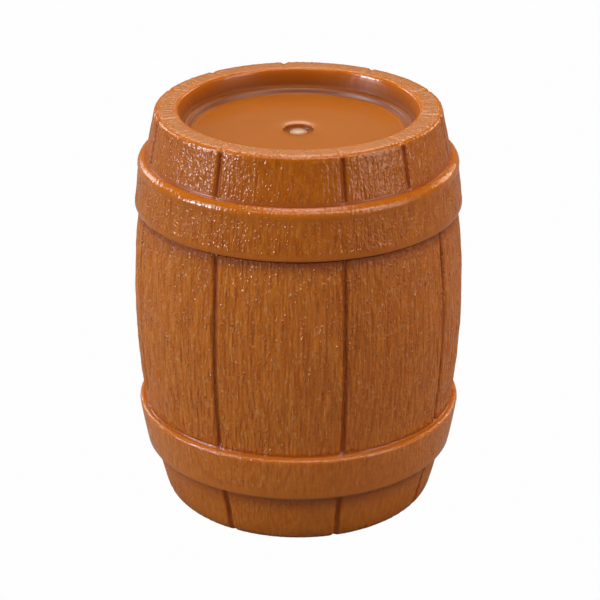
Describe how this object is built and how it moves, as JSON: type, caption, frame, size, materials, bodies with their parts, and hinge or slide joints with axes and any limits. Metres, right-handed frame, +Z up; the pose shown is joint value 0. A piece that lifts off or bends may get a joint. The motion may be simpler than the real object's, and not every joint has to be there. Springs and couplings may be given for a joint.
{
  "type": "barrel container",
  "caption": "Small moulded plastic barrel with wood-look staves and hoops: a cup-shaped body and a push-on lid with a recessed head, closed on a seal ring.",
  "frame": {"origin": "on the barrel's axis, in the plane of the foot ring that it stands on", "axes": "+Z up along the barrel's axis, -Y towards the side that the picture shows, +X to that side's right"},
  "size_m": [0.06, 0.06, 0.0752],
  "materials": {
    "barrel_plastic": "caramel brown moulded plastic with raised vertical wood grain and fine speckle, semi-gloss",
    "lid_plastic": "the same caramel brown plastic, grained outside and smooth and glossy in the recessed head",
    "seal_foam": "pale soft sealing ring, matt"
  },
  "bodies": {
    "barrel": {"barrel_body": "barrel_plastic"},
    "seal": {"seal_ring": "seal_foam"},
    "lid": {"lid": "lid_plastic"}
  },
  "joints": [
    {"name": "lid_lift", "type": "slide", "parent": "barrel", "child": "seal", "axis": [0, 0, 1], "range_m": [0, 0.025]},
    {"name": "lid_turn", "type": "hinge", "parent": "seal", "child": "lid", "pos_m": [0, 0, 0.0651], "axis": [0, 0, 1], "continuous": true}
  ]
}
